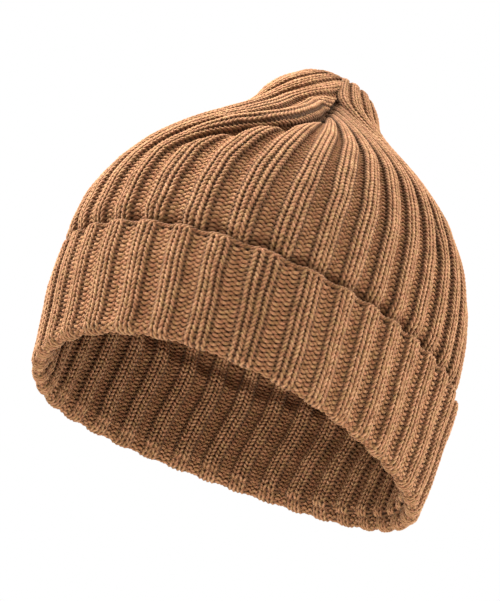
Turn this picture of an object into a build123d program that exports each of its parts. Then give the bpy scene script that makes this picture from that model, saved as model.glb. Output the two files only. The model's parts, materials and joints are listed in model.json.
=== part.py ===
from build123d import *
import math
import os

os.makedirs("parts", exist_ok=True)

# Rib-knit beanie with a turned-up cuff, standing on its brim.
# Millimetres, +Z up, wearer's front towards -Y, origin at the centre of the brim on the rest plane.
# The knit walls are plain closed shells, turned about the vertical axis from (height, radius) profiles.

KNIT = 3.1             # thickness of one layer of rib knit
TOTAL_H = 173.0        # brim to tip
CUFF_H = 49.0          # height of the turned-up cuff, cast-on edge included
FOLD_H = 7.0           # height of the rolled brim fold
EDGE_H = 3.0           # height of the cast-on edge
DART_Z = 108.0         # where the crown darts begin
REST_FLAT = 1.6        # width of the brim's flat rest face
STANDOFF = 0.1         # air between the fold's inner leg and the band above it
THREAD_R = 0.8         # linking thread of the darts
THREAD_IN = 1.6        # thread centre line, inside the knit's inner face
GATHER_R = 7.0         # ring of gather thread under the tip
KNOT_R = 2.4
TAIL_L = 13.0

# outer face of the cuff: height, radius
CUFF_OUT = [(7.0, 89.6), (12.0, 90.7), (20.0, 91.7), (33.0, 92.3), (46.0, 92.2)]
# outer face of the band under the cuff
BAND_OUT = [(7.0 + STANDOFF, 86.1), (12.0, 87.0), (20.0, 87.8), (48.0, 88.0)]
# outer face of the side wall above the cuff
WALL_OUT = [(48.0, 88.0), (51.5, 88.4), (58.0, 90.2), (66.0, 90.5), (74.0, 89.6), (81.0, 87.8), (88.0, 85.2),
            (95.0, 82.0), (102.0, 78.1), (108.0, 74.2)]
# outer face of the crown, from the darts to the pinched tip
CROWN_OUT = [(108.0, 74.2), (113.0, 70.4), (118.0, 66.0), (123.0, 60.9), (128.0, 55.2), (133.0, 49.2), (138.0, 43.2),
             (143.0, 37.5), (148.0, 32.6), (153.0, 29.0), (158.0, 26.0), (163.0, 22.3), (167.5, 17.6), (170.8, 12.0),
             (172.6, 6.0), (173.0, 0.0)]


def inset(profile, t):
    # profile moved inwards along its own normal by t
    out = []
    n = len(profile)
    for i in range(n):
        a = profile[max(i - 1, 0)]
        b = profile[min(i + 1, n - 1)]
        dz, dr = b[0] - a[0], b[1] - a[1]
        k = math.hypot(dz, dr)
        out.append((profile[i][0] + dr / k * t, profile[i][1] - dz / k * t))
    return out


def radius_at(profile, z):
    # radius on a straight-run profile at one height
    for (z0, r0), (z1, r1) in zip(profile, profile[1:]):
        if z0 <= z <= z1:
            return r0 + (r1 - r0) * (z - z0) / (z1 - z0)
    raise ValueError(z)


def turned(points):
    # closed section of (radius, height) corners turned about the vertical axis
    return revolve(Plane.XZ * make_face(Polyline(*points, close=True)), Axis.Z, 360)


def wall(outer, inner):
    return turned([(r, z) for z, r in outer] + [(r, z) for z, r in reversed(inner)])


# ---- brim fold: the fabric turns outwards and up in a soft U with a narrow flat under it
fold_out = CUFF_OUT[0][1]
fold_in = BAND_OUT[0][1] - KNIT
REST_R = (fold_out + fold_in) / 2
half = (fold_out - fold_in) / 2
slot_out = fold_out - KNIT
slot_in = BAND_OUT[0][1]
with BuildSketch(Plane.XZ) as fold_sk:
    with BuildLine():
        Polyline((REST_R + REST_FLAT / 2, 0), (REST_R - REST_FLAT / 2, 0))
        ThreePointArc((REST_R - REST_FLAT / 2, 0), (REST_R - half * 0.80, 1.15), (fold_in, 4.2))
        Polyline((fold_in, 4.2), (fold_in, FOLD_H), (slot_in, FOLD_H), (slot_in, 3.4), (slot_out, 3.4),
                 (slot_out, FOLD_H), (fold_out, FOLD_H), (fold_out, 4.2))
        ThreePointArc((fold_out, 4.2), (REST_R + half * 0.80, 1.15), (REST_R + REST_FLAT / 2, 0))
    make_face()
brim_fold = revolve(fold_sk.sketch, Axis.Z, 360)

# ---- turned-up cuff: one layer of ribs outside the band
edge_z = CUFF_H - EDGE_H
turned_up_cuff = wall(CUFF_OUT, [(z, r - KNIT) for z, r in CUFF_OUT])

# ---- cast-on edge: a raised bead along the cuff's top
er = CUFF_OUT[-1][1]
cast_on_edge = turned([(er - KNIT, edge_z), (er + 0.3, edge_z), (er + 0.8, edge_z + 0.8), (er + 0.7, edge_z + 2.1),
                       (er - 0.2, CUFF_H), (er - 2.2, CUFF_H), (er - KNIT, CUFF_H - 0.9)])

# ---- inner band and side wall: the one tube of the hat, divided at the top of the cuff
inner_band = wall(BAND_OUT, [(z, r - KNIT) for z, r in BAND_OUT])
moved = inset(WALL_OUT, KNIT)
slope_in = inset([WALL_OUT[-2], CROWN_OUT[0], CROWN_OUT[1]], KNIT)
dart_in = radius_at([moved[-2], slope_in[1], (slope_in[1][0] + 5.0, slope_in[1][1] - 4.6)], DART_Z)
wall_in = [(WALL_OUT[0][0], WALL_OUT[0][1] - KNIT)] + [p for p in moved[1:-1]] + [(DART_Z, dart_in)]
side_wall = wall(WALL_OUT, wall_in)

# ---- crown: a dome drawn into a soft tip, divided along its four darts
crown_in = [p for p in inset([WALL_OUT[-2]] + CROWN_OUT[:-1], KNIT)[1:] if p[0] > DART_Z + 1.0 and p[1] > 3.0]
top_in = TOTAL_H - KNIT
crown_in = [(DART_Z, dart_in)] + [p for p in crown_in if p[0] < top_in - 0.3] + [(top_in, 3.0), (top_in, 0.0)]
shell = wall(CROWN_OUT, crown_in)

gores = {}
for name, mid_deg in (("crown_front_gore", -90), ("crown_right_gore", 180), ("crown_back_gore", 90), ("crown_left_gore", 0)):
    a0, a1 = math.radians(mid_deg - 45), math.radians(mid_deg + 45)
    far = 200.0
    tri = make_face(Polyline((0, 0), (far * math.cos(a0), far * math.sin(a0)), (far * math.cos(a1), far * math.sin(a1)), close=True))
    gores[name] = shell & (Pos(0, 0, DART_Z - 5) * extrude(tri, amount=90))

# ---- dart seams: linking thread along each dart, inside the crown
thread_line = [p for p in inset([WALL_OUT[-2]] + CROWN_OUT[:-1], KNIT + THREAD_IN)[1:] if DART_Z + 2.0 < p[0] < 164.0]
thread_line = thread_line[::2]
seams = {}
for name, deg in (("dart_seam_front_left", -45), ("dart_seam_front_right", -135),
                  ("dart_seam_back_right", 135), ("dart_seam_back_left", 45)):
    ca, sa = math.cos(math.radians(deg)), math.sin(math.radians(deg))
    pts = [Vector(r * ca, r * sa, z) for z, r in thread_line]
    radii = []
    for i in range(1, len(pts) - 1):
        u, v = pts[i] - pts[i - 1], pts[i + 1] - pts[i]
        turn = math.radians(max(u.get_angle(v), 0.5))
        radii.append(0.45 * min(u.length, v.length) / math.tan(turn / 2))
    path = FilletPolyline(*pts, radius=radii)
    seams[name] = sweep(Plane(origin=path @ 0, z_dir=path % 0) * Circle(THREAD_R), path=path)
print("thread bend radii", [round(r, 1) for r in radii])

# ---- gather thread: ring that draws the last loops together, with its knot and tails under it
gather_z = top_in - 2.4
gather_thread = Pos(0, 0, gather_z) * Torus(GATHER_R, THREAD_R)
knot_z = gather_z - THREAD_R - KNOT_R - 0.15
knot = Pos(GATHER_R, 0, knot_z) * Sphere(KNOT_R)
for tilt, turn in ((9, 20), (-11, 75)):
    tail = Pos(GATHER_R, 0, knot_z) * Rot(0, 0, turn) * Rot(0, tilt, 0) * Pos(0, 0, -TAIL_L / 2 - 1.0) * Cylinder(THREAD_R * 0.9, TAIL_L)
    knot = knot + tail
closing_knot = knot

nodes = {
    "brim_fold": brim_fold,
    "turned_up_cuff": turned_up_cuff,
    "cast_on_edge": cast_on_edge,
    "inner_band": inner_band,
    "side_wall": side_wall,
    "gather_thread": gather_thread,
    "closing_knot": closing_knot,
}
nodes.update(gores)
nodes.update(seams)
for name, shape in nodes.items():
    export_step(shape, "parts/%s.step" % name)
print("rest face radius", round(REST_R, 2), "opening radius", round(fold_in, 2), "nodes", len(nodes))
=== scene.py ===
import json
import math

import bpy
import numpy as np
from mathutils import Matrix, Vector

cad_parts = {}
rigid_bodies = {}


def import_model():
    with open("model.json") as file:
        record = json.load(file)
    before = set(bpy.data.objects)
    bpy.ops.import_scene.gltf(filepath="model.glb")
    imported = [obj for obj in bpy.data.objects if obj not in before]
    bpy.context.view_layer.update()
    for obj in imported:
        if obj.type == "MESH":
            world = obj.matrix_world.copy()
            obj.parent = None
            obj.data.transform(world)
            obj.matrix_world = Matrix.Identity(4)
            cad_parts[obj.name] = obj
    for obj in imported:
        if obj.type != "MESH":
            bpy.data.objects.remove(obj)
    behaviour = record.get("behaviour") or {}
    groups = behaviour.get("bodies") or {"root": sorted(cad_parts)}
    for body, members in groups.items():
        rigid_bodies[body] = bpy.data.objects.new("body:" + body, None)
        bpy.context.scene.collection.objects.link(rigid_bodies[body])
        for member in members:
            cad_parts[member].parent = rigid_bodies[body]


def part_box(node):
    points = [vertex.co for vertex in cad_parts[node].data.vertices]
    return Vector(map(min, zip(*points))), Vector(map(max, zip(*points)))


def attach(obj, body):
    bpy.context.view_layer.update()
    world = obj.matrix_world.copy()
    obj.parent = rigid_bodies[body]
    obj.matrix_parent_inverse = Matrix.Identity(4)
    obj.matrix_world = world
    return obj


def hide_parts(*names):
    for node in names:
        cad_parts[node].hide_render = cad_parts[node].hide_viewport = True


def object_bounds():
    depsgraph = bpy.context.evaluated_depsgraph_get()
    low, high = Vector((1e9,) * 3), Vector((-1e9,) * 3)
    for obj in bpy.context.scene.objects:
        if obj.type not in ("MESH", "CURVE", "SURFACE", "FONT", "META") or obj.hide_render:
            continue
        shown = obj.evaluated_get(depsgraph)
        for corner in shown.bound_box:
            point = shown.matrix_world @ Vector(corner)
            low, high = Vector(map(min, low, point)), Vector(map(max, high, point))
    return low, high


# Rib-knit beanie with a turned-up cuff. Every stitch is a length of modelled yarn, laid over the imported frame.
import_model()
cad_box = [list(map(float, p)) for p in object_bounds()]
rng = np.random.default_rng(7)
MM = 0.001
SIDES = 6
PER = 12                       # yarn samples in one stitch
PITCH = 2.0                    # one row, mm
YARN = 0.79                    # yarn radius, mm
LIFT = 5.5                    # the brim's lowest points touch the floor, its front and back stand off it
SCALE = 0.982

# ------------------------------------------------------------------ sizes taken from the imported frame, in mm
def node_mm(name):
    lo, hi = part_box(name)
    return np.array(lo) * 1000, np.array(hi) * 1000


EDGE_TOP = node_mm("cast_on_edge")[1][2]
EDGE_BOTTOM = node_mm("cast_on_edge")[0][2]
CUFF_R = node_mm("turned_up_cuff")[1][0]
BAND_BOTTOM = node_mm("inner_band")[0][2]
WALL_BOTTOM = node_mm("side_wall")[0][2]
CROWN_BOTTOM = node_mm("side_wall")[1][2]
TIP = cad_box[1][2] * 1000 + 1.8


def placed(v):
    # shape space in mm to the shared frame in metres
    return (v + np.array([0, 0, LIFT])) * (SCALE * MM)

# ------------------------------------------------------------------ the shape of the hat
def curve(xs, ys, smooth=0.0):
    # straight runs between points, softened over a few millimetres
    xs, ys = np.array(xs, float), np.array(ys, float)
    if not smooth:
        return lambda z: np.interp(z, xs, ys)
    g = np.arange(xs[0] - 4 * smooth, xs[-1] + 4 * smooth, 0.25)
    first, last = (ys[1] - ys[0]) / (xs[1] - xs[0]), (ys[-1] - ys[-2]) / (xs[-1] - xs[-2])
    v = np.interp(g, xs, ys)
    v = np.where(g < xs[0], ys[0] + (g - xs[0]) * first, v)
    v = np.where(g > xs[-1], ys[-1] + (g - xs[-1]) * last, v)
    k = np.exp(-0.5 * (np.arange(-16 * smooth, 16 * smooth + 1) / (4 * smooth)) ** 2)
    k /= k.sum()
    w = np.convolve(v, k, mode="same")
    keep = (g >= xs[0]) & (g <= xs[-1])
    gx, wx = g[keep], w[keep]
    return lambda z: np.interp(z, gx, wx)


OUT_Z = [0, 14.7, 34.4, 54.0, 73.6, 88.4, 103.1, 117.8, 132.6, 145.3, 155.2, 163.0, 168.9, 172.6, 174.4, TIP]
OUT_R = [87.9, 89.8, 92.2, 91.4, 89.6, 85.4, 78.5, 67.7, 52.2, 36.4, 29.1, 23.4, 17.6, 11.0, 5.5, 0.4]
LEAN_X = [7.2, 5.9, 2.7, 0.4, -1, -1, -0.7, 0, -1.5, -7, -10.4, -10.2, -9.6, -9.2, -9.2, -9.2]
lean = curve(OUT_Z, LEAN_X, 4.0)
outer_r = curve(OUT_Z[:13], OUT_R[:13], 3.0)


def rim_wave(th_deg):
    t = np.radians(th_deg)
    w = -3.63 * np.cos(2 * t) + 2.50 * np.sin(2 * t) - 0.08 * np.cos(3 * t) - 0.49 * np.sin(3 * t)
    back = (th_deg - 95 + 180) % 360 - 180
    left = (th_deg - 195 + 180) % 360 - 180
    right = (th_deg - 12 + 180) % 360 - 180
    return w - 0.6 - 0.9 * np.exp(-((back + 25) / 50) ** 2) - 0.6 * np.exp(-(left / 34) ** 2) + 0.3 * np.exp(-(right / 32) ** 2)


def bulge(th_deg, z):
    # the tip is a soft pinch: fuller on its right shoulder and a little on its left
    right = np.maximum(np.cos(np.radians(th_deg - 0.0)), 0) ** 2 * 3.3 * np.exp(-((z - 164.0) / 7.5) ** 2)
    left = np.maximum(np.cos(np.radians(th_deg - 180.0)), 0) ** 2 * 2.4 * np.exp(-((z - 161.0) / 9.0) ** 2)
    return right + left


def ease(a, b, z):
    k = np.clip((z - a) / (b - a), 0, 1)
    return k * k * (3 - 2 * k)


def square_up(th_deg, z):
    # the brim is a little squarer at its back right than a circle
    d = (th_deg - 150 + 180) % 360 - 180
    return 2.6 * np.exp(-(d / 15) ** 2) * np.exp(-(z / 22) ** 2)


def tuck(th_deg, z):
    # the band lies further in than the cuff above the fold, most on the side the brim leans to
    return (0.8 + 2.6 * np.maximum(np.cos(np.radians(th_deg)), 0)) * ease(3.5, 8.5, z) * (1 - ease(22.0, 44.0, z))


def body_profile():
    # middle of the fabric of band, wall and crown: (z, r), finely sampled, from the band's foot to the tip
    z = np.arange(BAND_BOTTOM - 1.0, 168.0, 0.5)
    r = outer_r(z)
    dr = np.gradient(r, z)
    nz, nr = -dr / np.hypot(1, dr), 1 / np.hypot(1, dr)
    zz, rr = z - nz * 2.5, r - nr * 2.5
    band = np.interp(z, [0, 7, 20, 48], [82.9, 83.2, 84.5, 85.5])
    k = np.clip((z - 47.0) / 11.0, 0, 1)
    k = k * k * (3 - 2 * k)
    rr = rr * k + band * (1 - k)
    zz = zz * k + z * (1 - k)
    capz = np.array([168.4, 169.8, 171.0, 171.9, 172.4, 172.6])
    capr = np.array([15.6, 12.9, 9.8, 6.3, 3.0, 0.3])
    keep = zz < 167.2
    pz, pr = np.concatenate([zz[keep], capz]), np.concatenate([rr[keep], capr])
    s = np.concatenate([[0], np.cumsum(np.hypot(np.diff(pz), np.diff(pr)))])
    g = np.arange(0, s[-1], 0.4)
    gz, gr = np.interp(g, s, pz), np.interp(g, s, pr)
    ker = np.exp(-0.5 * (np.arange(-8, 9) / 3.0) ** 2)
    ker /= ker.sum()
    gz[8:-8] = np.convolve(gz, ker, mode="same")[8:-8]
    gr[8:-8] = np.convolve(gr, ker, mode="same")[8:-8]
    return gz, gr


def cuff_profile():
    # middle of the fabric of fold and cuff: up the inside leg's end, round the bottom, up the outside
    ro = CUFF_R - 2.75
    zc, rc, rad = 3.7, 84.9, 2.0
    pts = [(9.0, rc - rad + 0.2), (7.0, rc - rad)]
    for a in np.linspace(180, 360, 19):
        pts.append((zc + rad * math.sin(math.radians(a)), rc + rad * math.cos(math.radians(a))))
    pts += [(9.0, 87.0), (14.0, 87.6), (22.0, ro - 1.1), (34.0, ro), (46.0, ro - 0.1), (EDGE_TOP - 0.3, ro - 0.2)]
    p = np.array(pts)
    s = np.concatenate([[0], np.cumsum(np.hypot(np.diff(p[:, 0]), np.diff(p[:, 1])))])
    g = np.arange(0, s[-1], 0.3)
    gz, gr = np.interp(g, s, p[:, 0]), np.interp(g, s, p[:, 1])
    ker = np.exp(-0.5 * (np.arange(-6, 7) / 2.5) ** 2)
    ker /= ker.sum()
    gz[6:-6] = np.convolve(gz, ker, mode="same")[6:-6]
    gr[6:-6] = np.convolve(gr, ker, mode="same")[6:-6]
    return gz, gr


# ------------------------------------------------------------------ where the columns of stitches run
def warp(th):
    d = (th + 93 + 180) % 360 - 180
    s = np.where(d < 0, 38.0, 46.0)
    return 12 * np.exp(-(d / s) ** 2) - 3.6 * np.exp(-(((d - 1) / 85) ** 4))


def warp_cuff(th):
    d = (th + 108 + 180) % 360 - 180
    return warp(th) - 4 * np.exp(-(d / 14) ** 2)


DART_FL = curve([80, 86, 94, 100, 104, 110, 115, 122, 133, 142, 149, 154, 160, 190],
                [-134.8, -134.8, -131, -127, -124, -119, -112, -106, -100, -95, -89, -84, -83, -83], 1.0)
DART_FR = curve([80, 86, 112, 122, 130, 136, 141, 146, 150, 154, 158, 190],
                [-44.2, -44.2, -44.5, -46, -49, -54, -60.5, -68.5, -75.5, -81, -83, -83], 1.2)
DART_BR = curve([80, 86, 94, 100, 104, 110, 115, 122, 133, 141, 148, 156, 190],
                [135, 135, 131, 127, 124, 119, 112, 106, 100, 95, 92, 91, 90], 1.2)
DART_BL = curve([80, 86, 94, 100, 104, 110, 115, 122, 133, 141, 148, 156, 190],
                [45, 45, 49, 53, 56, 61, 68, 74, 80, 86, 89, 90, 90], 1.2)
FRONT_G = curve([80, 88, 104, 118, 124, 132, 140, 147, 152, 190], [1, 1, 0.91, 0.82, 0.72, 0.50, 0.30, 0.17, 0.11, 0.1], 1.5)
SPREAD_L = curve([80, 144, 150, 155, 160, 165, 168, 170, 172, 173, 190],
                 [1, 1, 1.045, 1.095, 1.15, 1.22, 1.29, 1.42, 1.9, 2.6, 3.2], 1.0)
SPREAD_R = curve([80, 165, 168, 170, 172, 173, 190], [1, 1, 1.06, 1.22, 1.8, 2.5, 3.2], 1.0)


def nominal(c):
    return -135 + 2.5 * c


def side_of(g, z):
    # the two seams of one gore, in degrees, as functions of height
    if g == 0:
        return DART_FL(z), DART_FR(z)
    if g == 1:
        return DART_FR(z), DART_BL(z)
    if g == 2:
        return DART_BL(z), DART_BR(z)
    return DART_BR(z), DART_FL(z) + 360


def column_angle(g, c, z):
    base = nominal(c) + warp(nominal(c))
    k = np.clip((48.0 - z) / 41.0, 0, 1)
    low = base + 5.0 * k * k * (3 - 2 * k)
    a0, a1 = side_of(g, z)
    if g in (0, 2):
        mid = -95.0 if g == 0 else 90.0
        gz = FRONT_G(z)
        if g == 0:
            q = np.clip((base - mid) / (-44.2 - mid), 0, 1)
            bound = (a1 - mid) / (-44.2 - mid)
            gz = gz + (np.maximum(np.clip(bound, 0, 1) ** 0.55, gz) - gz) * q ** 1.2
        high = mid + (base - mid) * gz
    else:
        b0, b1 = side_of(g, 84.0)
        f = (base - b0) / (b1 - b0)
        q = np.clip((z - 92.0) / 14.0, 0, 1)      # the purl column beside each seam turns under
        e = 1.0 / 36
        fs = np.where(f < e, f * 0.2, np.where(f > 1 - e, 1 - (1 - f) * 0.2, 0.2 * e + (f - e) * (1 - 0.4 * e) / (1 - 2 * e)))
        f = f + (fs - f) * q
        high = a0 + f * (a1 - a0)
        # near the tip the columns keep to one seam and run into the other, like a pinwheel
        high = a0 + (high - a0) * (SPREAD_L if g == 3 else SPREAD_R)(z)
    return np.where(z < 84.0, low, high)


def hat_table(g):
    # fabric middle surface of one quarter of the hat: P[c, s], with the distance in from its two seams
    gz, gr = body_profile()
    cs = np.arange(36 * g - 1.0, 36 * g + 37.01, 0.5)
    C, Z = np.meshgrid(cs, gz, indexing="ij")
    R = np.broadcast_to(gr, C.shape)
    th = column_angle(g, C, Z)
    t = np.radians(th)
    R = R + bulge(th, Z) + square_up(th, Z) - tuck(th, Z)
    P = np.stack([lean(Z) + R * np.cos(t), R * np.sin(t), Z + np.clip(1 - Z / 60.0, 0, 1) * rim_wave(th) +
                  1.1 * ease(156.0, 170.0, Z)], -1)
    seg = np.linalg.norm(np.diff(P, axis=1), axis=2)
    S = np.concatenate([np.zeros((len(cs), 1)), np.cumsum(seg, axis=1)], axis=1)
    # rows start level, at the same stitch all round, below the crown
    k0 = np.argmin(abs(gz - 60.0))
    ref = np.interp(gz, gz, np.concatenate([[0], np.cumsum(np.hypot(np.diff(gz), np.diff(gr)))]))
    S = np.where(Z <= gz[k0], ref[None, :], S - S[:, k0:k0 + 1] + ref[k0])
    sg = np.arange(0, S[:, -1].max(), 0.5)
    out = np.zeros((len(cs), len(sg), 3))
    ex = np.zeros((len(cs), len(sg), 4))
    a0, a1 = side_of(g, gz)
    rad = np.radians(1.0) * gr
    path = np.hypot(np.gradient(gz), np.gradient(gr))
    d0 = np.cos(np.arctan(rad * np.gradient(a0) / path))
    d1 = np.cos(np.arctan(rad * np.gradient(a1) / path))
    for i in range(len(cs)):
        for k in range(3):
            out[i, :, k] = np.interp(sg, S[i], P[i, :, k])
        ex[i, :, 0] = np.interp(sg, S[i], (th[i] - a0) * rad * d0)
        ex[i, :, 1] = np.interp(sg, S[i], (a1 - th[i]) * rad * d1)
        ex[i, :, 2] = np.interp(sg, S[i], gz)
        ex[i, :, 3] = (sg <= S[i, -1] - 0.4)
    return cs, sg, out, ex


def cuff_table():
    gz, gr = cuff_profile()
    cs = np.arange(-1.0, 145.01, 0.5)
    C, Z = np.meshgrid(cs, gz, indexing="ij")
    R = np.broadcast_to(gr, C.shape)
    th = nominal(C) + warp_cuff(nominal(C))
    t = np.radians(th)
    wob = 0.5 * np.sin(np.radians(3 * th + 40)) * np.clip((Z - 20) / 28, 0, 1) + square_up(th, Z)
    wob = wob + np.maximum(np.cos(t), 0) ** 1.5 * (0.3 * ease(5.0, 16.0, Z) + 1.5 * ease(30.0, 47.0, Z))
    P = np.stack([lean(Z) + (R + wob) * np.cos(t), (R + wob) * np.sin(t),
                  Z + np.clip(1 - Z / 60.0, 0, 1) * rim_wave(th)], -1)
    s = np.concatenate([[0], np.cumsum(np.hypot(np.diff(gz), np.diff(gr)))])
    sg = np.arange(0, s[-1], 0.4)
    out = np.stack([np.stack([np.interp(sg, s, P[i, :, k]) for k in range(3)], -1) for i in range(len(cs))])
    ex = np.zeros(out.shape[:2] + (4,))
    ex[..., 0] = ex[..., 1] = 99.0
    ex[..., 2] = np.interp(sg, s, gz)[None, :]
    ex[..., 3] = 1
    return cs, sg, out, ex


class Cloth:
    def __init__(self, table, outward):
        self.cs, self.sg, self.P, self.ex = table
        dc = np.gradient(self.P, self.cs, axis=0)
        ds = np.gradient(self.P, self.sg, axis=1)
        n = np.cross(dc, ds)
        n /= np.linalg.norm(n, axis=2, keepdims=True) + 1e-9
        self.N = n * outward
        self.W = np.linalg.norm(dc, axis=2)

    def at(self, c, s, *fields):
        u = np.clip((c - self.cs[0]) / (self.cs[1] - self.cs[0]), 0, len(self.cs) - 1.001)
        v = np.clip((s - self.sg[0]) / (self.sg[1] - self.sg[0]), 0, len(self.sg) - 1.001)
        i, j = u.astype(int), v.astype(int)
        fu, fv = u - i, v - j
        res = []
        for f in fields:
            if f.ndim == 3:
                a, b = fu[..., None], fv[..., None]
            else:
                a, b = fu, fv
            res.append((f[i, j] * (1 - a) + f[i + 1, j] * a) * (1 - b) + (f[i, j + 1] * (1 - a) + f[i + 1, j + 1] * a) * b)
        return res


def hashed(i, j, k):
    v = np.sin(i * 12.9898 + j * 78.233 + k * 37.719) * 43758.5453
    return v - np.floor(v)


RIB_FRAC = curve([0, 50, 60, 90, 125, 200], [0.55, 0.56, 0.58, 0.60, 0.70, 0.72])
BODY_FRAC = curve([0, 44, 56, 66, 90, 125, 200], [0.44, 0.46, 0.56, 0.58, 0.60, 0.70, 0.72])
S_BOTTOM = 0.0
SEAM_DEPTH = {0: (3.2, 0.6), 1: (0.9, 3.0), 2: (3.0, 3.0), 3: (3.0, 2.2)}


def knit(cloth, c0, c1, rows, g=None, flip=False, relief=1.35, cut=False, seed=0):
    # yarn centre lines of a block of stitches: rows x samples
    n = (c1 - c0) * PER
    t_all = np.arange(n + 1) / PER + c0
    J, T = np.meshgrid(np.array(rows, float), t_all, indexing="ij")
    i = np.floor(T + 1e-6)
    i = np.minimum(i, c1 - 1)
    t = T - i
    a = 0.218 + 0.03 * (hashed(i, J, seed + 1) - 0.5)
    face = np.tanh(9 * np.cos(np.pi * ((T % 4) - 2) / 2))
    h = 1.66 + 0.13 * face + 0.14 * (hashed(i, J, seed + 2) - 0.5) * np.sin(np.pi * t) ** 2
    x = i + t + a * np.sin(4 * np.pi * t)
    y = -h * np.cos(2 * np.pi * t) * (-1 if flip else 1)
    s = (J + 0.5) * PITCH + y + 0.22 * np.sin(0.35 * T + 1.3 * J) * np.sin(0.11 * T + J)
    z, = cloth.at(x, s, cloth.ex[..., 2])
    kf = BODY_FRAC(z) if cut else RIB_FRAC(z)
    ph = (x % 4) - 2
    inner = np.abs(ph) <= 1
    ph2 = np.where(inner, ph * 2 * kf, np.sign(ph) * (2 * kf + (np.abs(ph) - 1) * (2 - 2 * kf)))
    xc = x - ph + ph2
    rib = np.floor((x + 2) / 4)
    xc = xc + 0.05 * np.sin(s / 13.0 + 2.4 * rib) + 0.02 * np.sin(s / 2.9 + 1.1 * rib)
    xc = np.clip(xc, c0, c1) if cut else xc
    P, N, W, d0, d1, zz, ok = cloth.at(xc, s, cloth.P, cloth.N, cloth.W, cloth.ex[..., 0], cloth.ex[..., 1],
                                       cloth.ex[..., 2], cloth.ex[..., 3])
    N = N / (np.linalg.norm(N, axis=2, keepdims=True) + 1e-9)
    S = np.tanh(1.9 * np.cos(np.pi * ph / 2)) / math.tanh(1.9)
    sg = face
    loc = -(0.48 - 0.12 * face) * np.cos(4 * np.pi * t) + 0.10 * np.cos(2 * np.pi * t)
    width = np.clip(W / 2.5, 0.35, 1.0)
    rel = relief * (0.35 + 0.65 * width) * (1 + 0.07 * np.sin(1.7 * rib + s / 21))
    if not cut:
        rel = rel * (1 - 0.62 * np.exp(-((s - S_BOTTOM) / 4.6) ** 2))
    rel = rel * (1 - 0.42 * np.clip((zz - 142) / 18, 0, 1))
    loc = sg * loc * (0.6 + 0.4 * width)
    off = rel * S + loc + 0.10 * (hashed(i, J, seed + 3) - 0.5)
    if cut:
        fade = np.clip((zz - 88) / 12, 0, 1)
        q0, q1 = SEAM_DEPTH[g]
        low = 1 - 0.84 * np.clip((zz - 148) / 14, 0, 1)
        q0, q1 = q0 * low, q1 * low
        D0, D1 = np.maximum(d0, 0), np.maximum(d1, 0)
        off = off - fade * (q0 * np.exp(-(D0 / 2.4) ** 2) + q1 * np.exp(-(D1 / 2.4) ** 2))
        if g == 0:
            off = off - fade * 1.6 * np.exp(-(D0 / 7.0) ** 2)
        if g == 3:
            off = off + np.clip((zz - 98) / 12, 0, 1) * np.clip((158 - zz) / 16, 0, 1) * 1.3 * np.exp(-((D1 - 6.5) / 4.5) ** 2)
        ok = ok * ((d0 > -0.2) | (zz < 87)) * ((d1 > -0.2) | (zz < 87))
    pos = P + N * off[..., None]
    rad = YARN * np.clip(W / 2.3, 0.40, 1.0) ** 0.6 * (1 + 0.05 * np.sin(T * 2.1 + J * 5.3))
    return dict(pos=pos, nor=N, rad=rad, ok=ok > 0.5, rib=S, loc=loc, stitch=hashed(i, J, seed + 4))


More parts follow.
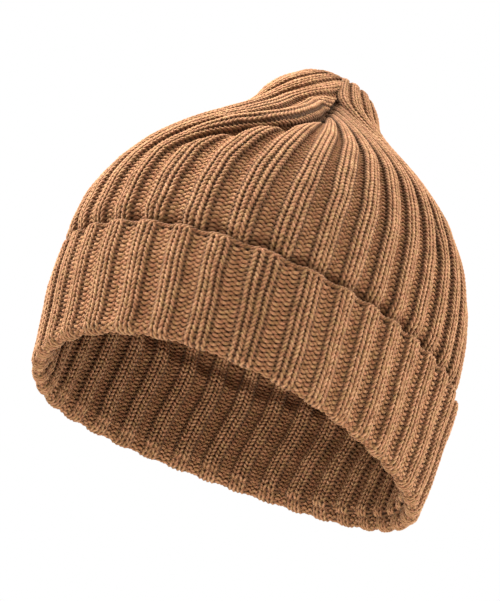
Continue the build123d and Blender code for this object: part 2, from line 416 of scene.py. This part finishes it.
def shaded_backing_slab(cloth, c0, c1, r0, r1, g=None, relief=1.35, cut=False):
    # a thin slab at the middle of the fabric, painted dark as the shade between the loops; it also closes the gaps
    # between them
    T = np.arange((c1 - c0) * 4 + 1) / 4.0 + c0
    V = np.arange(r1 - r0 + 1) * PITCH + r0 * PITCH
    V, X = np.meshgrid(V, T, indexing="ij")
    z, = cloth.at(X, V, cloth.ex[..., 2])
    kf = BODY_FRAC(z) if cut else RIB_FRAC(z)
    ph = (X % 4) - 2
    ph2 = np.where(np.abs(ph) <= 1, ph * 2 * kf, np.sign(ph) * (2 * kf + (np.abs(ph) - 1) * (2 - 2 * kf)))
    rib = np.floor((X + 2) / 4)
    xc = X - ph + ph2 + 0.05 * np.sin(V / 13.0 + 2.4 * rib) + 0.02 * np.sin(V / 2.9 + 1.1 * rib)
    xc = np.clip(xc, c0, c1) if cut else xc
    P, N, W, d0, d1, zz, ok = cloth.at(xc, V, cloth.P, cloth.N, cloth.W, cloth.ex[..., 0], cloth.ex[..., 1],
                                       cloth.ex[..., 2], cloth.ex[..., 3])
    N = N / (np.linalg.norm(N, axis=2, keepdims=True) + 1e-9)
    S = np.tanh(1.9 * np.cos(np.pi * ph / 2)) / math.tanh(1.9)
    width = np.clip(W / 2.5, 0.35, 1.0)
    rel = relief * (0.35 + 0.65 * width)
    if not cut:
        rel = rel * (1 - 0.62 * np.exp(-((V - S_BOTTOM) / 4.6) ** 2))
    rel = rel * (1 - 0.42 * np.clip((zz - 142) / 18, 0, 1))
    off = rel * S
    ok = ok > 0.5
    if cut:
        fade = np.clip((zz - 88) / 12, 0, 1)
        q0, q1 = SEAM_DEPTH[g]
        low = 1 - 0.84 * np.clip((zz - 148) / 14, 0, 1)
        D0, D1 = np.maximum(d0, 0), np.maximum(d1, 0)
        off = off - fade * low * (q0 * np.exp(-(D0 / 2.4) ** 2) + q1 * np.exp(-(D1 / 2.4) ** 2))
        if g == 0:
            off = off - fade * 1.6 * np.exp(-(D0 / 7.0) ** 2)
        if g == 3:
            off = off + np.clip((zz - 98) / 12, 0, 1) * np.clip((158 - zz) / 16, 0, 1) * 1.3 * np.exp(-((D1 - 6.5) / 4.5) ** 2)
        # the cut edges turn inwards and pass each other, so that no light gets through the dart
        turn = 2.4 * np.clip((zz - 92) / 8, 0, 1) * low
        off = off - turn * np.clip(1 - d0 / 1.1, 0, 1) - turn * np.clip(1 - d1 / 1.1, 0, 1)
        ok = ok & ((d0 > -1.3) | (zz < 87)) & ((d1 > -1.3) | (zz < 87))
    full = ok[:-1, :-1] & ok[1:, :-1] & ok[:-1, 1:] & ok[1:, 1:]
    idx = np.arange(ok.size).reshape(ok.shape)
    quads = np.stack([idx[:-1, :-1][full], idx[:-1, 1:][full], idx[1:, 1:][full], idx[1:, :-1][full]], -1)
    used = np.unique(quads)
    back = np.full(ok.size, -1)
    back[used] = np.arange(len(used))
    quads = back[quads]
    top = (P + N * (off + 0.12)[..., None]).reshape(-1, 3)[used]
    bot = (P + N * (off - 0.12)[..., None]).reshape(-1, 3)[used]
    n = len(used)
    e = np.concatenate([quads[:, [0, 1]], quads[:, [1, 2]], quads[:, [2, 3]], quads[:, [3, 0]]])
    key = np.sort(e, axis=1)
    _, inv, cnt = np.unique(key[:, 0] * (n + 1) + key[:, 1], return_inverse=True, return_counts=True)
    rim = e[cnt[inv] == 1]
    F = np.concatenate([quads, quads[:, ::-1] + n, np.stack([rim[:, 1], rim[:, 0], rim[:, 0] + n, rim[:, 1] + n], -1)])
    return np.concatenate([top, bot]), F


# ------------------------------------------------------------------ tubes
def tube_mesh(name, blocks, mats, sides=SIDES, slab=None):
    verts, faces, uvs, yarnuv, depth, tint, crest = [], [], [], [], [], [], []
    base = 0
    total_rows = sum(b["pos"].shape[0] for b in blocks)
    row0 = 0
    for b in blocks:
        P, N, rad, ok = b["pos"], b["nor"], b["rad"], b["ok"]
        nr, ns = rad.shape
        T = np.gradient(P, axis=1)
        T /= np.linalg.norm(T, axis=2, keepdims=True) + 1e-9
        B = np.cross(T, N)
        B /= np.linalg.norm(B, axis=2, keepdims=True) + 1e-9
        M = np.cross(B, T)
        ang = np.arange(sides) / sides * 2 * np.pi
        ring = P[:, :, None, :] + rad[:, :, None, None] * (np.cos(ang)[None, None, :, None] * M[:, :, None, :] +
                                                           np.sin(ang)[None, None, :, None] * B[:, :, None, :])
        use = ok.copy()
        pair = ok[:, :-1] & ok[:, 1:]
        touched = np.zeros_like(ok)
        touched[:, :-1] |= pair
        touched[:, 1:] |= pair
        use &= touched
        idx = np.full((nr, ns), -1)
        idx[use] = np.arange(use.sum())
        verts.append(ring[use].reshape(-1, 3))
        face = np.sum(M * N, axis=2)[:, :, None] * np.cos(ang)[None, None, :] + np.sum(B * N, axis=2)[:, :, None] * np.sin(ang)[None, None, :]
        ribv = b["rib"] if "rib" in b else np.full(rad.shape, 0.6)
        locv = b["loc"] if "loc" in b else np.full(rad.shape, 0.3)
        # painted shade: the yarn sides that face into the rib troughs and flanks are stored darker, for the shade
        # between the ribs
        depth.append((0.5 + 0.5 * ribv[:, :, None] * face)[use].ravel())
        # painted shade: the top of each yarn is stored light, its sides and the gaps between the loops dark
        crest.append((np.abs(locv[:, :, None] + rad[:, :, None] * face) / 1.27 * (0.42 + 0.58 * np.abs(face)))[use].ravel())
        tint.append(np.repeat(b["stitch"][use], sides))
        jj, kk = np.nonzero(pair)
        A0, A1 = base + idx[jj, kk] * sides, base + idx[jj, kk + 1] * sides
        seg = np.concatenate([np.zeros((nr, 1)), np.cumsum(np.linalg.norm(np.diff(P, axis=1), axis=2), axis=1)], axis=1)
        for q in range(sides):
            q2 = (q + 1) % sides
            faces.append(np.stack([A0 + q, A1 + q, A1 + q2, A0 + q2], -1))
            u0, u1 = kk / (ns - 1), (kk + 1) / (ns - 1)
            v0 = 0.03 + 0.97 * (row0 + jj + 0.04 + 0.92 * q / sides) / total_rows
            v1 = 0.03 + 0.97 * (row0 + jj + 0.04 + 0.92 * (q + 1) / sides) / total_rows
            uvs.append(np.stack([np.stack([u0, v0], -1), np.stack([u1, v0], -1), np.stack([u1, v1], -1),
                                 np.stack([u0, v1], -1)], 1))
            s0, s1 = seg[jj, kk] + jj * 7.3, seg[jj, kk + 1] + jj * 7.3
            w0, w1 = np.full(len(jj), q / sides), np.full(len(jj), (q + 1) / sides)
            yarnuv.append(np.stack([np.stack([s0, w0], -1), np.stack([s1, w0], -1), np.stack([s1, w1], -1),
                                    np.stack([s0, w1], -1)], 1))
        base += int(use.sum()) * sides
        # closed ends
        start = use & ~np.concatenate([np.zeros((nr, 1), bool), pair], axis=1)
        end = use & ~np.concatenate([pair, np.zeros((nr, 1), bool)], axis=1)
        b["ends"] = [(idx[start] * sides, True), (idx[end] * sides, False)]
        b["base"] = base - int(use.sum()) * sides
        row0 += nr
    V = placed(np.concatenate(verts))
    F = np.concatenate(faces)
    UV = np.concatenate(uvs)
    YU = np.concatenate(yarnuv)
    capf = []
    for b in blocks:
        for ids, first in b["ends"]:
            k = ids[:, None] + np.arange(sides)[None, :] + b["base"]
            capf.append(k if first else k[:, ::-1])
    capf = np.concatenate(capf) if capf else np.zeros((0, sides), int)
    if slab is not None:
        sv, sf = slab
        F = np.concatenate([F, sf + len(V)])
        V = np.concatenate([V, placed(sv)])
        UV = np.concatenate([UV, np.tile(np.array([[0.004, 0.004], [0.018, 0.004], [0.018, 0.018], [0.004, 0.018]]), (len(sf), 1, 1))])
        YU = np.concatenate([YU, np.zeros((len(sf), 4, 2))])
        # the slab is painted in full shade: both shading values are 0 for it
        depth.append(np.full(len(sv), 0.0)); crest.append(np.full(len(sv), 0.0)); tint.append(np.full(len(sv), 0.5))
    me = bpy.data.meshes.new(name)
    nq, nc = len(F), len(capf)
    me.vertices.add(len(V))
    me.vertices.foreach_set("co", V.astype(np.float32).ravel())
    me.loops.add(nq * 4 + nc * sides)
    me.loops.foreach_set("vertex_index", np.concatenate([F.ravel(), capf.ravel()]).astype(np.int32))
    me.polygons.add(nq + nc)
    starts = np.concatenate([np.arange(nq) * 4, nq * 4 + np.arange(nc) * sides])
    me.polygons.foreach_set("loop_start", starts.astype(np.int32))
    me.polygons.foreach_set("use_smooth", np.ones(nq + nc, bool))
    layer = me.uv_layers.new(name="OFBake")
    corner = np.arange(sides) / sides * 2 * np.pi
    cap_uv = np.stack([0.37 + 0.0008 * np.cos(corner), 0.53 + 0.0008 * np.sin(corner)], -1)
    flat = np.concatenate([UV.reshape(-1, 2), np.tile(cap_uv, (nc, 1))]).astype(np.float32)
    layer.data.foreach_set("uv", flat.ravel())
    layer = me.uv_layers.new(name="Yarn")
    flat = np.concatenate([YU.reshape(-1, 2), np.zeros((nc * sides, 2))]).astype(np.float32)
    layer.data.foreach_set("uv", flat.ravel())
    for label, vals in (("depth", np.concatenate(depth)), ("tint", np.concatenate(tint)), ("crest", np.concatenate(crest))):
        at = me.attributes.new(label, "FLOAT", "POINT")
        at.data.foreach_set("value", vals.astype(np.float32))
    me.update(calc_edges=True)
    me.validate()
    o = bpy.data.objects.new(name, me)
    bpy.context.scene.collection.objects.link(o)
    for m in mats:
        me.materials.append(m)
    return o


# ------------------------------------------------------------------ wool
def wool(name, light, mid, dark, trough_shade=0.76, gap_shade=0.12, spin=1.0):
    m = bpy.data.materials.new(name)
    m.use_nodes = True
    nt = m.node_tree
    N, L = nt.nodes, nt.links
    N.clear()
    out = N.new("ShaderNodeOutputMaterial")
    b = N.new("ShaderNodeBsdfPrincipled")
    L.new(b.outputs[0], out.inputs[0])
    uv = N.new("ShaderNodeUVMap"); uv.uv_map = "Yarn"
    co = N.new("ShaderNodeTexCoord")
    sep = N.new("ShaderNodeSeparateXYZ"); L.new(uv.outputs[0], sep.inputs[0])

    def math_node(op, a, bb=None, c=None):
        n = N.new("ShaderNodeMath"); n.operation = op
        for k, v in enumerate((a, bb, c)):
            if v is None:
                continue
            if isinstance(v, (int, float)):
                n.inputs[k].default_value = v
            else:
                L.new(v, n.inputs[k])
        return n.outputs[0]

    # fibres lie along the yarn at the twist's slant
    slant = math_node("MULTIPLY_ADD", sep.outputs[0], 0.42 * spin, sep.outputs[1])
    comb = N.new("ShaderNodeCombineXYZ")
    L.new(math_node("MULTIPLY", sep.outputs[0], 0.55), comb.inputs[0])
    L.new(math_node("MULTIPLY", slant, 7.0), comb.inputs[1])
    fib = N.new("ShaderNodeTexNoise"); fib.inputs["Scale"].default_value = 2.2
    fib.inputs["Detail"].default_value = 3.0; fib.inputs["Roughness"].default_value = 0.65
    L.new(comb.outputs[0], fib.inputs["Vector"])
    fleck = N.new("ShaderNodeTexNoise"); fleck.inputs["Scale"].default_value = 620.0
    fleck.inputs["Detail"].default_value = 2.0
    L.new(co.outputs["Object"], fleck.inputs["Vector"])
    patch = N.new("ShaderNodeTexNoise"); patch.inputs["Scale"].default_value = 60.0
    patch.inputs["Detail"].default_value = 2.0
    L.new(co.outputs["Object"], patch.inputs["Vector"])
    tint = N.new("ShaderNodeAttribute"); tint.attribute_name = "tint"
    rib_shade_node = N.new("ShaderNodeAttribute"); rib_shade_node.attribute_name = "depth"

    mixv = math_node("ADD", math_node("MULTIPLY", fib.outputs[0], 0.50), math_node("MULTIPLY", fleck.outputs[0], 0.38))
    mixv = math_node("ADD", mixv, math_node("MULTIPLY", patch.outputs[0], 0.12))
    mixv = math_node("ADD", mixv, math_node("MULTIPLY_ADD", tint.outputs["Fac"], 0.10, -0.05))
    ramp = N.new("ShaderNodeValToRGB")
    e = ramp.color_ramp.elements
    e[0].position, e[0].color = 0.33, (*dark, 1)
    e[1].position, e[1].color = 0.68, (*light, 1)
    k = ramp.color_ramp.elements.new(0.50); k.color = (*mid, 1)
    L.new(mixv, ramp.inputs[0])
    heather = N.new("ShaderNodeTexNoise"); heather.inputs["Scale"].default_value = 420.0
    heather.inputs["Detail"].default_value = 3.0; heather.inputs["Roughness"].default_value = 0.7
    shift = N.new("ShaderNodeVectorMath"); shift.operation = "ADD"; shift.inputs[1].default_value = (3.1, 1.7, 5.3)
    L.new(co.outputs["Object"], shift.inputs[0]); L.new(shift.outputs[0], heather.inputs["Vector"])
    hue = N.new("ShaderNodeValToRGB")
    e = hue.color_ramp.elements
    e[0].position, e[0].color = 0.36, (1.0, 0.86, 0.88, 1)
    e[1].position, e[1].color = 0.64, (0.86, 0.92, 0.76, 1)
    k = hue.color_ramp.elements.new(0.50); k.color = (1.0, 0.96, 0.92, 1)
    L.new(heather.outputs[0], hue.inputs[0])
    mixed = N.new("ShaderNodeMix"); mixed.data_type = "RGBA"; mixed.blend_type = "MULTIPLY"
    mixed.inputs[0].default_value = 1.0
    L.new(ramp.outputs[0], mixed.inputs[6]); L.new(hue.outputs[0], mixed.inputs[7])
    shade = N.new("ShaderNodeMix"); shade.data_type = "RGBA"; shade.blend_type = "MULTIPLY"
    shade.inputs[0].default_value = 1.0
    L.new(mixed.outputs[2], shade.inputs[6])
    # painted shade: the rib troughs and flanks are darkened by the stored rib shading
    trough_shade_ramp = N.new("ShaderNodeValToRGB")
    e = trough_shade_ramp.color_ramp.elements
    e[0].position, e[0].color = 0.0, (trough_shade, trough_shade * 0.90, trough_shade * 0.82, 1)
    e[1].position, e[1].color = 0.62, (1, 1, 1, 1)
    L.new(rib_shade_node.outputs["Fac"], trough_shade_ramp.inputs[0])
    L.new(trough_shade_ramp.outputs[0], shade.inputs[7])
    # painted shade: the gaps between the loops and the sides of each yarn are darkened
    crest_shade_node = N.new("ShaderNodeAttribute"); crest_shade_node.attribute_name = "crest"
    gap_shade_ramp = N.new("ShaderNodeValToRGB")
    e = gap_shade_ramp.color_ramp.elements
    e[0].position, e[0].color = 0.05, (gap_shade, gap_shade * 0.86, gap_shade * 0.74, 1)
    e[1].position, e[1].color = 0.88, (1, 1, 1, 1)
    k = gap_shade_ramp.color_ramp.elements.new(0.48); k.color = (0.51, 0.455, 0.405, 1)
    L.new(crest_shade_node.outputs["Fac"], gap_shade_ramp.inputs[0])
    shade2 = N.new("ShaderNodeMix"); shade2.data_type = "RGBA"; shade2.blend_type = "MULTIPLY"
    shade2.inputs[0].default_value = 1.0
    L.new(shade.outputs[2], shade2.inputs[6]); L.new(gap_shade_ramp.outputs[0], shade2.inputs[7])
    L.new(shade2.outputs[2], b.inputs["Base Color"])
    rough = math_node("MULTIPLY_ADD", fib.outputs[0], 0.16, 0.80)
    L.new(rough, b.inputs["Roughness"])
    b.inputs["Specular IOR Level"].default_value = 0.18
    b.inputs["Sheen Weight"].default_value = 0.22
    b.inputs["Sheen Roughness"].default_value = 0.45
    b.inputs["Sheen Tint"].default_value = (0.95, 0.72, 0.52, 1)
    # two plies and their fibres
    ply = math_node("SINE", math_node("MULTIPLY", slant, 4 * math.pi))
    hgt = math_node("ADD", math_node("MULTIPLY", ply, 0.35), math_node("MULTIPLY", fib.outputs[0], 0.9))
    hgt = math_node("ADD", hgt, math_node("MULTIPLY", fleck.outputs[0], 0.5))
    bump = N.new("ShaderNodeBump"); bump.inputs["Strength"].default_value = 0.55
    bump.inputs["Distance"].default_value = 0.0004
    L.new(hgt, bump.inputs["Height"])
    L.new(bump.outputs[0], b.inputs["Normal"])
    return m


# the wool and the thread carry painted shade in their colour, in the rib troughs and between the loops
WOOL = wool("camel_wool", (0.80, 0.475, 0.265), (0.560, 0.290, 0.143), (0.315, 0.142, 0.062))
THREAD = wool("linking_thread", (0.66, 0.40, 0.22), (0.47, 0.25, 0.125), (0.29, 0.135, 0.06), trough_shade=0.8)

# ------------------------------------------------------------------ build the knit
hats = [Cloth(hat_table(g), 1.0) for g in range(4)]
cuff = Cloth(cuff_table(), 1.0)
gz, gr = body_profile()
ref_s = np.concatenate([[0], np.cumsum(np.hypot(np.diff(gz), np.diff(gr)))])
row_wall = int(round(np.interp(WALL_BOTTOM, gz, ref_s) / PITCH))
row_crown = int(round(np.interp(CROWN_BOTTOM, gz, ref_s) / PITCH))
GORES = ["crown_front_gore", "crown_left_gore", "crown_back_gore", "crown_right_gore"]
QUARTERS = ["front", "left", "back", "right"]
for g in range(4):
    last = int(hats[g].sg[-1] / PITCH)
    half = row_crown + (14 if g in (0, 2) else 21)
    for node, tail, r0, r1 in (("inner_band", "_" + QUARTERS[g], 0, row_wall), ("side_wall", "_" + QUARTERS[g], row_wall, row_crown),
                               (GORES[g], "_lower", row_crown, half), (GORES[g], "_upper", half, last)):
        rl = 1.35 if node == "inner_band" else 1.6
        blk = knit(hats[g], 36 * g, 36 * g + 36, range(r0, r1), g=g, cut=True, relief=rl)
        slab = shaded_backing_slab(hats[g], 36 * g, 36 * g + 36, r0, r1, g=g, cut=True, relief=rl)
        o = tube_mesh(node + "_knit" + tail, [blk], [WOOL], slab=slab)
        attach(o, "hat_body")
        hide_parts(node)

# cuff and fold
cz, cr = cuff_profile()
cs_ = np.concatenate([[0], np.cumsum(np.hypot(np.diff(cz), np.diff(cr)))])
bottom = int(np.argmin(cz))
S_BOTTOM = cs_[bottom]
s_fold = cs_[bottom] + 6.2
row_fold = int(round(s_fold / PITCH))
row_edge = int(cs_[-1] / PITCH) - 1
for g in range(4):
    for node, r0, r1 in (("brim_fold", 0, row_fold), ("turned_up_cuff", row_fold, row_edge)):
        blk = knit(cuff, 36 * g, 36 * g + 36, range(r0, r1), flip=True, relief=1.35, seed=9)
        slab = shaded_backing_slab(cuff, 36 * g, 36 * g + 36, r0, r1, relief=1.35)
        o = tube_mesh("%s_knit_%s" % (node, QUARTERS[g]), [blk], [WOOL], slab=slab)
        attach(o, "cuff")
        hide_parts(node)

# cast-on edge: the last row and a two-strand chain along it
edge_rows = knit(cuff, 0, 144, range(row_edge, row_edge + 1), flip=True, relief=1.35, seed=9)
T = np.arange(144 * PER + 1) / PER
blocks = [edge_rows]
top_s = (row_edge + 1) * PITCH + 0.25
for k in range(2):
    w = 2 * np.pi * T * 1.0 + math.pi * k
    c = T + 0.10 * np.sin(w)
    ph = (c % 4) - 2
    ph2 = np.where(np.abs(ph) <= 1, ph * 1.1, np.sign(ph) * (1.1 + (np.abs(ph) - 1) * 0.9))
    s = top_s + 0.55 * np.sin(w)
    P, N = cuff.at(c - ph + ph2, np.minimum(s, cuff.sg[-1]), cuff.P, cuff.N)
    P = P + np.array([0, 0, 1.0]) * np.maximum(s - cuff.sg[-1], 0)[:, None]
    S = np.tanh(1.9 * np.cos(np.pi * ph / 2))
    off = 1.15 * S + 0.15 + 0.42 * np.cos(w)
    P = P + N * off[:, None]
    blocks.append(dict(pos=P[None], nor=N[None], rad=np.full((1, len(T)), YARN * 0.80), ok=np.ones((1, len(T)), bool),
                       rib=S[None], loc=(0.3 * np.cos(w))[None], stitch=hashed(np.floor(T * 1.5)[None], k, 5.0)))
o = tube_mesh("cast_on_edge_knit", blocks, [WOOL])
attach(o, "cuff"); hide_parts("cast_on_edge")

# ------------------------------------------------------------------ seams: linking thread inside each dart
SEAMS = [("dart_seam_front_right", 0, 0), ("dart_seam_front_left", 0, 1), ("dart_seam_back_left", 2, 0),
         ("dart_seam_back_right", 2, 1)]


def inner_point(ang, z, inset):
    r = np.interp(z, gz, gr) - inset
    t = np.radians(ang)
    return np.stack([lean(z) + r * np.cos(t), r * np.sin(t), z - inset * 0.35], -1)


for name, g, side in SEAMS:
    zf = np.linspace(90, 164, 1200)
    ang = side_of(g, zf)[side]
    P = inner_point(ang, zf, 5.2)
    seg = np.concatenate([[0], np.cumsum(np.linalg.norm(np.diff(P, axis=0), axis=1))])
    n = int(seg[-1] / 0.35)
    u = np.linspace(0, seg[-1], n)
    C = np.stack([np.interp(u, seg, P[:, k]) for k in range(3)], -1)
    Tn = np.gradient(C, axis=0); Tn /= np.linalg.norm(Tn, axis=1, keepdims=True)
    out = np.stack([C[:, 0] - lean(C[:, 2]), C[:, 1], np.zeros(n)], -1)
    out /= np.linalg.norm(out, axis=1, keepdims=True)
    Bn = np.cross(Tn, out); Bn /= np.linalg.norm(Bn, axis=1, keepdims=True)
    blocks = []
    for k in range(2):                       # chain of linking stitches: two strands crossing every 3 mm
        w = 2 * np.pi * u / 6.0 + math.pi * k
        pos = C + Bn * (1.15 * np.sin(w))[:, None] + out * (0.55 * np.cos(2 * w))[:, None]
        blocks.append(dict(pos=pos[None], nor=out[None], rad=np.full((1, n), 0.62), ok=np.ones((1, n), bool),
                           stitch=hashed(np.floor(u / 3)[None], k, 2.0)))
    o = tube_mesh(name + "_thread", blocks, [THREAD])
    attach(o, "hat_body"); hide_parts(name)

# gather thread: the drawn-up ring under the tip, wavy where it passes through the last loops, and its knot and tails
cx, cz0 = float(lean(168.0)), 166.0
a = np.linspace(0, 2 * np.pi * 2, 721)
ring = np.stack([cx + (6.6 + 0.5 * np.sin(11 * a) + 0.35 * np.cos(a / 2)) * np.cos(a),
                 (6.6 + 0.5 * np.sin(11 * a) + 0.35 * np.cos(a / 2)) * np.sin(a),
                 cz0 + 0.6 * np.sin(a / 2) + 0.45 * np.cos(11 * a)], -1)
up = np.tile([0, 0, 1.0], (len(a), 1))
o = tube_mesh("gather_thread_yarn", [dict(pos=ring[None], nor=up[None], rad=np.full((1, len(a)), 0.7), ok=np.ones((1, len(a)), bool),
                                          stitch=hashed(np.floor(a * 3)[None], 1, 1))], [THREAD], 8)
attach(o, "hat_body"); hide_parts("gather_thread")
t = np.linspace(0, 2 * np.pi, 241)
knot_c = np.array([cx + 6.6, 0, cz0 - 3.4])
trefoil = knot_c + 0.78 * np.stack([np.sin(t) + 2 * np.sin(2 * t), np.cos(t) - 2 * np.cos(2 * t), -1.1 * np.sin(3 * t)], -1)
blocks = [dict(pos=trefoil[None], nor=np.tile([0.2, 0.3, 1.0], (len(t), 1))[None], rad=np.full((1, len(t)), 0.72),
               ok=np.ones((1, len(t)), bool), stitch=hashed(np.floor(t)[None], 2, 2))]
for tx, ty, ln in ((1.6, 0.7, 13.0), (-0.9, 1.8, 11.0)):
    v = np.linspace(0, 1, 60)
    tail = knot_c + np.stack([tx * v + 0.5 * np.sin(5 * v), ty * v + 0.5 * np.cos(4 * v) - 0.5, -1.0 - ln * v], -1)
    blocks.append(dict(pos=tail[None], nor=np.tile([1.0, 0, 0.1], (60, 1))[None], rad=(0.66 - 0.14 * v ** 6)[None],
                       ok=np.ones((1, 60), bool), stitch=hashed(np.floor(v * 5)[None], 3, 3)))
o = tube_mesh("closing_knot_yarn", blocks, [THREAD], 8)
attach(o, "hat_body"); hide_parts("closing_knot")

# ------------------------------------------------------------------ stage: pale floor, soft light, camera
floor_me = bpy.data.meshes.new("floor")
L_ = 2.5
floor_me.from_pydata([(-L_, -L_, 0), (L_, -L_, 0), (L_, L_, 0), (-L_, L_, 0)], [], [(0, 1, 2, 3)])
floor = bpy.data.objects.new("floor", floor_me)
bpy.context.scene.collection.objects.link(floor)
fm = bpy.data.materials.new("pale_floor")
fm.use_nodes = True
nt = fm.node_tree
nt.nodes.clear()
o_ = nt.nodes.new("ShaderNodeOutputMaterial")
mix = nt.nodes.new("ShaderNodeMixShader")
tr = nt.nodes.new("ShaderNodeBsdfTransparent")
di = nt.nodes.new("ShaderNodeBsdfDiffuse"); di.inputs[0].default_value = (0.86, 0.855, 0.85, 1)
ns = nt.nodes.new("ShaderNodeTexNoise"); ns.inputs["Scale"].default_value = 9.0
rp = nt.nodes.new("ShaderNodeValToRGB")
rp.color_ramp.elements[0].color = (0.84, 0.835, 0.83, 1); rp.color_ramp.elements[1].color = (0.88, 0.875, 0.87, 1)
nt.links.new(ns.outputs[0], rp.inputs[0]); nt.links.new(rp.outputs[0], di.inputs[0])
ge = nt.nodes.new("ShaderNodeNewGeometry"); lp = nt.nodes.new("ShaderNodeLightPath")
sub = nt.nodes.new("ShaderNodeMath"); sub.operation = "SUBTRACT"; sub.use_clamp = True
nt.links.new(lp.outputs["Is Camera Ray"], sub.inputs[0]); nt.links.new(ge.outputs["Backfacing"], sub.inputs[1])
gco = nt.nodes.new("ShaderNodeTexCoord")
far_ = nt.nodes.new("ShaderNodeVectorMath"); far_.operation = "LENGTH"
fad = nt.nodes.new("ShaderNodeMapRange"); fad.interpolation_type = "SMOOTHSTEP"
fad.inputs[1].default_value = 0.16; fad.inputs[2].default_value = 0.55
fad.inputs[3].default_value = 1.0; fad.inputs[4].default_value = 0.0
both = nt.nodes.new("ShaderNodeMath"); both.operation = "MULTIPLY"
nt.links.new(gco.outputs["Object"], far_.inputs[0]); nt.links.new(far_.outputs["Value"], fad.inputs[0])
nt.links.new(sub.outputs[0], both.inputs[0]); nt.links.new(fad.outputs[0], both.inputs[1])
nt.links.new(both.outputs[0], mix.inputs[0]); nt.links.new(tr.outputs[0], mix.inputs[1]); nt.links.new(di.outputs[0], mix.inputs[2])
nt.links.new(mix.outputs[0], o_.inputs[0])
floor_me.materials.append(fm)

world = bpy.data.worlds.new("studio")
bpy.context.scene.world = world
world.use_nodes = True
wn = world.node_tree
wn.nodes.clear()
wo = wn.nodes.new("ShaderNodeOutputWorld")
seen = wn.nodes.new("ShaderNodeBackground"); seen.inputs[0].default_value = (1, 1, 1, 1); seen.inputs[1].default_value = 1.0
lit = wn.nodes.new("ShaderNodeBackground"); lit.inputs[0].default_value = (1, 0.985, 0.97, 1); lit.inputs[1].default_value = 0.61
lpw = wn.nodes.new("ShaderNodeLightPath")
mw = wn.nodes.new("ShaderNodeMixShader")
wn.links.new(lpw.outputs["Is Camera Ray"], mw.inputs[0]); wn.links.new(lit.outputs[0], mw.inputs[1])
wn.links.new(seen.outputs[0], mw.inputs[2]); wn.links.new(mw.outputs[0], wo.inputs[0])

centre = np.array([0, 0, 0.085])


def area(name, az, el, dist, size, power, colour=(1, 1, 1)):
    a_, e_ = math.radians(az), math.radians(el)
    p = centre + dist * np.array([math.cos(e_) * math.cos(a_), math.cos(e_) * math.sin(a_), math.sin(e_)])
    li = bpy.data.lights.new(name, "AREA")
    li.shape = "DISK"; li.size = size; li.energy = power; li.color = colour
    ob = bpy.data.objects.new(name, li)
    bpy.context.scene.collection.objects.link(ob)
    ob.location = p
    d = centre - p
    from mathutils import Vector
    ob.rotation_euler = Vector(d).to_track_quat("-Z", "Y").to_euler()
    return ob


area("key_left", 176, 35, 1.3, 0.6, 46.0, (1.0, 0.985, 0.965))
area("fill_right", -2, 28, 1.4, 0.7, 25.0, (1.0, 0.99, 0.98))
area("top", -105, 76, 1.3, 0.6, 15.0)
area("low_left", -124, -58, 1.4, 0.5, 4.2)
area("low_right", -62, -60, 1.4, 0.5, 11.5)

scn = bpy.context.scene
scn.view_settings.view_transform = "Standard"
scn.view_settings.look = "None"
cam_d = bpy.data.cameras.new("camera")
cam = bpy.data.objects.new("camera", cam_d)
scn.collection.objects.link(cam)
scn.camera = cam
EL, ROLL, F_PX, DIST = math.radians(-21.5), math.radians(23.27), 2221.23, 0.97164
aim = np.array([0, 0, 0.080])
loc = aim + DIST * np.array([0, -math.cos(EL), math.sin(EL)])
fw = (aim - loc) / np.linalg.norm(aim - loc)
loc = (loc + np.array([0, 0, LIFT * MM])) * SCALE
rt = np.array([1.0, 0, 0])
up_ = np.cross(rt, fw)
cxv = math.cos(ROLL) * rt + math.sin(ROLL) * up_
cyv = -math.sin(ROLL) * rt + math.cos(ROLL) * up_
from mathutils import Matrix
cam.matrix_world = Matrix(((cxv[0], cyv[0], -fw[0], loc[0]), (cxv[1], cyv[1], -fw[1], loc[1]),
                           (cxv[2], cyv[2], -fw[2], loc[2]), (0, 0, 0, 1)))
cam_d.sensor_fit = "HORIZONTAL"
cam_d.sensor_width = 36.0
cam_d.lens = F_PX / 500.0 * 36.0
cam_d.shift_x = -(279.35 - 250.0) / 500.0
cam_d.shift_y = -(300.5 - 269.9) / 500.0
cam_d.clip_start = 0.01
cam_d.clip_end = 20.0

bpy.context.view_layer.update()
for o in sorted(bpy.data.objects, key=lambda o: o.name):
    if o.type == "MESH" and len(o.data.polygons) > 1000:
        print("triangles", o.name, sum(len(q.vertices) - 2 for q in o.data.polygons))
